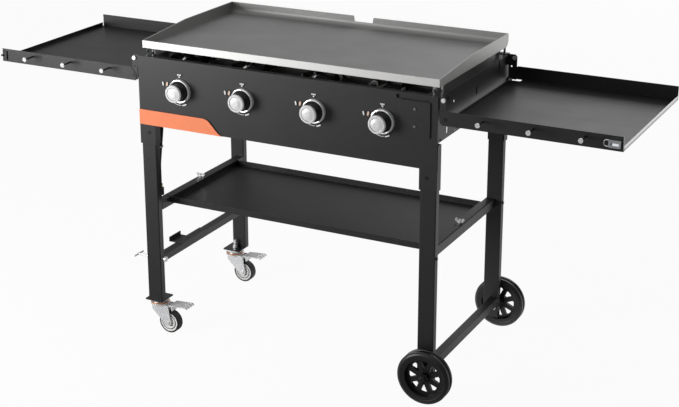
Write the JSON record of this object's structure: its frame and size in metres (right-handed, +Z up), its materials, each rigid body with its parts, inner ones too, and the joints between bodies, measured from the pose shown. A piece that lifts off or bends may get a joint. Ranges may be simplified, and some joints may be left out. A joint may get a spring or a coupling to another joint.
{
  "type": "outdoor gas griddle station",
  "caption": "Free-standing gas griddle: lift-off steel plate on a folded fire box with burner knobs, fold-down side shelves, bottom tray, braked casters and large wheels.",
  "frame": {"origin": "on the ground at the middle of the footprint box", "axes": "+X to the right seen from the front, +Y from the front to the back, +Z up"},
  "size_m": [1.9, 0.612, 0.913],
  "materials": {
    "black_coat": "satin powder coat",
    "shelf_coat": "satin powder coat",
    "griddle_steel": "rolled steel, ground outer faces",
    "stainless": "drawn stainless",
    "chrome": "polished",
    "zinc": "zinc plated",
    "brass": "machined",
    "ceramic": "glazed",
    "rubber": "matte",
    "tyre": "matte",
    "wheel_plastic": "moulded",
    "rim_plastic": "moulded",
    "caster_black": "coated",
    "white_nylon": "moulded"
  },
  "bodies": {
    "frame": {"front_panel": "black_coat", "side_panel_left": "black_coat", "side_panel_right": "black_coat", "rear_panel": "black_coat", "gas_manifold": "zinc", "gas_valves": "brass", "knob_bezels": "chrome", "burners": "stainless", "burner_rails": "black_coat", "igniter_electrodes": "ceramic", "leg_front_left": "black_coat", "leg_rear_left": "black_coat", "leg_front_right": "black_coat", "leg_rear_right": "black_coat", "leg_sleeves": "black_coat", "mid_rails": "black_coat", "lower_rail_left": "black_coat", "axle_rail": "black_coat", "bottom_tray": "black_coat", "tank_bracket": "black_coat", "wheel_axle": "zinc", "shelf_brackets": "black_coat", "shelf_bolts": "chrome", "gas_hose": "rubber", "hose_nipple": "brass", "hose_tie": "white_nylon", "frame_bolts": "zinc", "caster_mount_front": "caster_black", "caster_mount_rear": "caster_black"},
    "griddle": {"griddle_plate": "griddle_steel", "plate_feet": "chrome"},
    "cup": {"grease_cup": "stainless"},
    "shelf_right": {"shelf_right": "shelf_coat", "shelf_pegs_right": "chrome", "bottle_opener": "chrome"},
    "shelf_left": {"shelf_left": "shelf_coat", "shelf_pegs_left": "chrome"},
    "wing_screw_left": {"wing_screw_left": "zinc"},
    "wing_screw_right": {"wing_screw_right": "zinc"},
    "clamp_screw": {"tank_clamp_screw": "zinc"},
    "coupling_nut": {"coupling_nut": "brass"},
    "stem_1": {"valve_stem_1": "brass"},
    "knob_1": {"knob_1": "chrome"},
    "stem_2": {"valve_stem_2": "brass"},
    "knob_2": {"knob_2": "chrome"},
    "stem_3": {"valve_stem_3": "brass"},
    "knob_3": {"knob_3": "chrome"},
    "stem_4": {"valve_stem_4": "brass"},
    "knob_4": {"knob_4": "chrome"},
    "caster_front": {"caster_fork_front": "zinc"},
    "caster_wheel_front": {"caster_rim_front": "rim_plastic", "caster_tyre_front": "tyre"},
    "brake_front": {"brake_pedal_front": "zinc"},
    "wheel_front": {"wheel_front": "wheel_plastic"},
    "caster_rear": {"caster_fork_rear": "zinc"},
    "caster_wheel_rear": {"caster_rim_rear": "rim_plastic", "caster_tyre_rear": "tyre"},
    "brake_rear": {"brake_pedal_rear": "zinc"},
    "wheel_rear": {"wheel_rear": "wheel_plastic"}
  },
  "joints": [
    {"name": "griddle_lift", "type": "slide", "parent": "frame", "child": "griddle", "axis": [0, 0, 1], "range_m": [0, 0.12]},
    {"name": "cup_slide", "type": "slide", "parent": "frame", "child": "cup", "axis": [0, 1, 0], "range_m": [0, 0.06]},
    {"name": "shelf_right_fold", "type": "hinge", "parent": "frame", "child": "shelf_right", "pos_m": [0.481, 0, 0.798], "axis": [0, 1, 0], "range_deg": [0, 90]},
    {"name": "shelf_left_fold", "type": "hinge", "parent": "frame", "child": "shelf_left", "pos_m": [-0.481, 0, 0.798], "axis": [0, -1, 0], "range_deg": [0, 90]},
    {"name": "wing_screw_left_turn", "type": "hinge", "parent": "frame", "child": "wing_screw_left", "pos_m": [-0.4265, -0.002, 0.4202], "axis": [0, 0, 1], "continuous": true},
    {"name": "wing_screw_right_turn", "type": "hinge", "parent": "frame", "child": "wing_screw_right", "pos_m": [0.4265, -0.002, 0.4202], "axis": [0, 0, 1], "continuous": true},
    {"name": "clamp_screw_turn", "type": "hinge", "parent": "frame", "child": "clamp_screw", "pos_m": [-0.45, -0.2415, 0.243], "axis": [1, 0, 0], "continuous": true},
    {"name": "coupling_nut_turn", "type": "hinge", "parent": "frame", "child": "coupling_nut", "pos_m": [-0.431, -0.215, 0.443], "axis": [0, 0, 1], "continuous": true},
    {"name": "knob_1_turn", "type": "hinge", "parent": "frame", "child": "stem_1", "pos_m": [-0.32225, -0.255, 0.7705], "axis": [0, -1, 0], "range_deg": [0, 210]},
    {"name": "knob_1_push", "type": "slide", "parent": "stem_1", "child": "knob_1", "axis": [0, 1, 0], "range_m": [0, 0.003], "stiffness_N_per_m": 700, "springref_m": -0.002},
    {"name": "knob_2_turn", "type": "hinge", "parent": "frame", "child": "stem_2", "pos_m": [-0.11925, -0.255, 0.7705], "axis": [0, -1, 0], "range_deg": [0, 210]},
    {"name": "knob_2_push", "type": "slide", "parent": "stem_2", "child": "knob_2", "axis": [0, 1, 0], "range_m": [0, 0.003], "stiffness_N_per_m": 700, "springref_m": -0.002},
    {"name": "knob_3_turn", "type": "hinge", "parent": "frame", "child": "stem_3", "pos_m": [0.10275, -0.255, 0.7705], "axis": [0, -1, 0], "range_deg": [0, 210]},
    {"name": "knob_3_push", "type": "slide", "parent": "stem_3", "child": "knob_3", "axis": [0, 1, 0], "range_m": [0, 0.003], "stiffness_N_per_m": 700, "springref_m": -0.002},
    {"name": "knob_4_turn", "type": "hinge", "parent": "frame", "child": "stem_4", "pos_m": [0.30575, -0.255, 0.7705], "axis": [0, -1, 0], "range_deg": [0, 210]},
    {"name": "knob_4_push", "type": "slide", "parent": "stem_4", "child": "knob_4", "axis": [0, 1, 0], "range_m": [0, 0.003], "stiffness_N_per_m": 700, "springref_m": -0.002},
    {"name": "caster_front_swivel", "type": "hinge", "parent": "frame", "child": "caster_front", "pos_m": [-0.444, -0.2165, 0.1], "axis": [0, 0, 1], "continuous": true},
    {"name": "caster_front_roll", "type": "hinge", "parent": "caster_front", "child": "caster_wheel_front", "pos_m": [-0.408, -0.2165, 0.034], "axis": [0, 1, 0], "continuous": true},
    {"name": "brake_front_press", "type": "hinge", "parent": "caster_front", "child": "brake_front", "pos_m": [-0.414, -0.2165, 0.081], "axis": [0, 1, 0], "range_deg": [0, 12]},
    {"name": "wheel_front_roll", "type": "hinge", "parent": "frame", "child": "wheel_front", "pos_m": [0.449, -0.279, 0.076], "axis": [0, 1, 0], "continuous": true},
    {"name": "caster_rear_swivel", "type": "hinge", "parent": "frame", "child": "caster_rear", "pos_m": [-0.444, 0.2165, 0.1], "axis": [0, 0, 1], "continuous": true},
    {"name": "caster_rear_roll", "type": "hinge", "parent": "caster_rear", "child": "caster_wheel_rear", "pos_m": [-0.408, 0.2165, 0.034], "axis": [0, 1, 0], "continuous": true},
    {"name": "brake_rear_press", "type": "hinge", "parent": "caster_rear", "child": "brake_rear", "pos_m": [-0.414, 0.2165, 0.081], "axis": [0, 1, 0], "range_deg": [0, 12]},
    {"name": "wheel_rear_roll", "type": "hinge", "parent": "frame", "child": "wheel_rear", "pos_m": [0.449, 0.279, 0.076], "axis": [0, 1, 0], "continuous": true}
  ]
}
